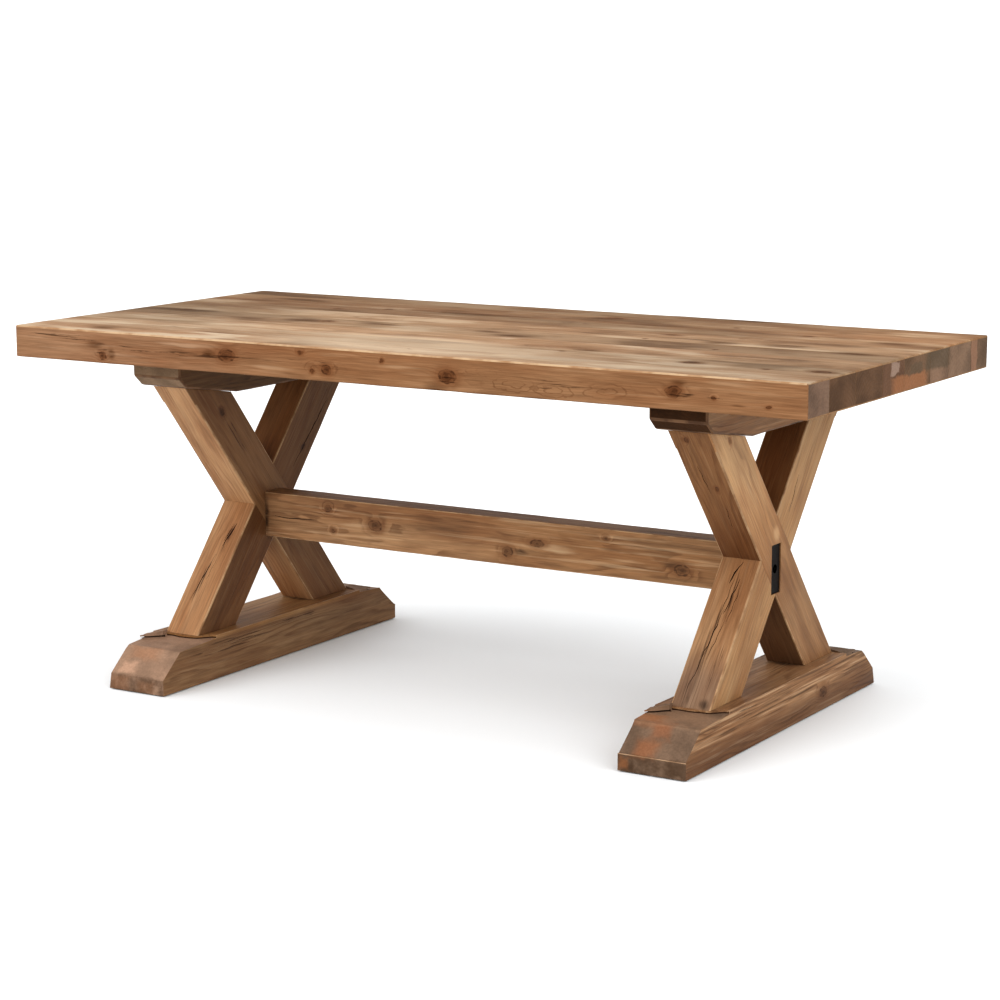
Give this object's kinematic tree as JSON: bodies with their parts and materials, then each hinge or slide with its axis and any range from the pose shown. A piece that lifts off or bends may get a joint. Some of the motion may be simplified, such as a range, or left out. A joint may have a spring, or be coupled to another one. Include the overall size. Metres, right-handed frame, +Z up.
{
  "type": "trestle dining table",
  "caption": "Rustic trestle dining table: a thick plank top on X-shaped timber trestles with sled feet, joined by a stretcher tied through the crossings.",
  "frame": {"origin": "on the floor under the middle of the table top", "axes": "+X along the table, +Y from the front edge (narrowest stave) to the back edge, +Z up"},
  "size_m": [1.83, 0.88, 0.762],
  "materials": {
    "top_wood": "worn, waxed reclaimed pine",
    "frame_wood": "worn, waxed reclaimed pine, darker",
    "tongue_wood": "bare planed softwood",
    "black_steel": "satin black",
    "zinc_steel": "zinc plated",
    "nylon": "matt brown nylon"
  },
  "bodies": {
    "root": {"top_stave_1": "top_wood", "top_stave_2": "top_wood", "top_stave_3": "top_wood", "top_stave_4": "top_wood", "top_stave_5": "top_wood", "top_stave_6": "top_wood", "top_stave_7": "top_wood", "top_stave_8": "top_wood", "top_tongues": "tongue_wood", "bearer_left": "frame_wood", "bearer_right": "frame_wood", "arm_left_a": "frame_wood", "arm_left_b": "frame_wood", "arm_right_a": "frame_wood", "arm_right_b": "frame_wood", "foot_left": "frame_wood", "foot_right": "frame_wood", "stretcher": "frame_wood", "tie_plate_left": "black_steel", "tie_plate_right": "black_steel", "tie_bolts": "black_steel", "barrel_nuts": "zinc_steel", "coach_screws": "zinc_steel", "coach_washers": "zinc_steel", "top_fixing_screws": "zinc_steel", "floor_glides": "nylon"}
  },
  "joints": []
}
